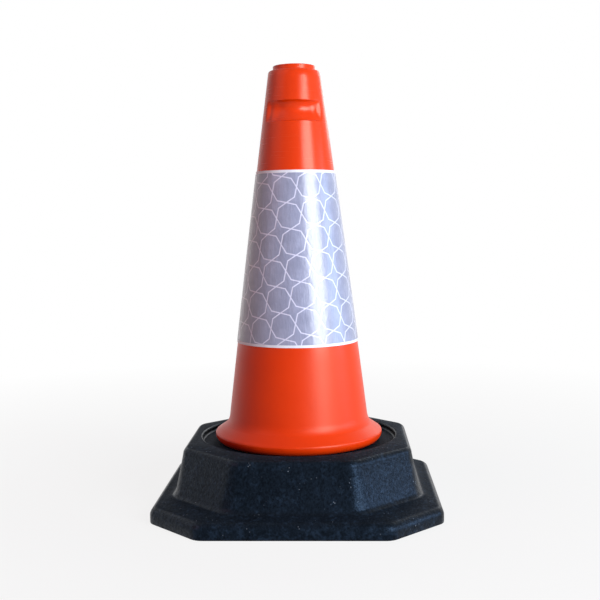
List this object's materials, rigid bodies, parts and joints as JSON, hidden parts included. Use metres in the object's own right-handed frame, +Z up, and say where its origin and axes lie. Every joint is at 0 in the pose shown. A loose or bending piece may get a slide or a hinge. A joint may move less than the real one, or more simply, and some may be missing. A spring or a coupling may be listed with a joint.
{
  "type": "traffic cone",
  "caption": "Two-part traffic cone: hollow tapered cone with a neck ring, finger pockets and a flared foot, set in a heavy octagonal base, with a slip-on reflective sleeve.",
  "frame": {"origin": "on the ground, on the cone's axis, at the bottom centre of the bounding box", "axes": "+Z up along the cone's axis; -Y is the side with the front finger pocket; +X to the right seen from the front"},
  "size_m": [0.319, 0.319, 0.5],
  "materials": {
    "black_rubber": "matte, faintly mottled, moulded",
    "orange_plastic": "semi-gloss, moulded in colour",
    "white_sheet": "satin flexible sheet",
    "reflective_film": "glossy retroreflective film with an octagonal cell pattern"
  },
  "bodies": {
    "base": {"base": "black_rubber"},
    "cone": {"cone_body": "orange_plastic"},
    "sleeve": {"sleeve_backing": "white_sheet", "reflective_film": "reflective_film"}
  },
  "joints": [
    {"name": "cone_lift", "type": "slide", "parent": "base", "child": "cone", "axis": [0, 0, 1], "range_m": [0, 0.1]},
    {"name": "sleeve_lift", "type": "slide", "parent": "cone", "child": "sleeve", "axis": [0, 0, 1], "range_m": [0, 0.32]}
  ]
}
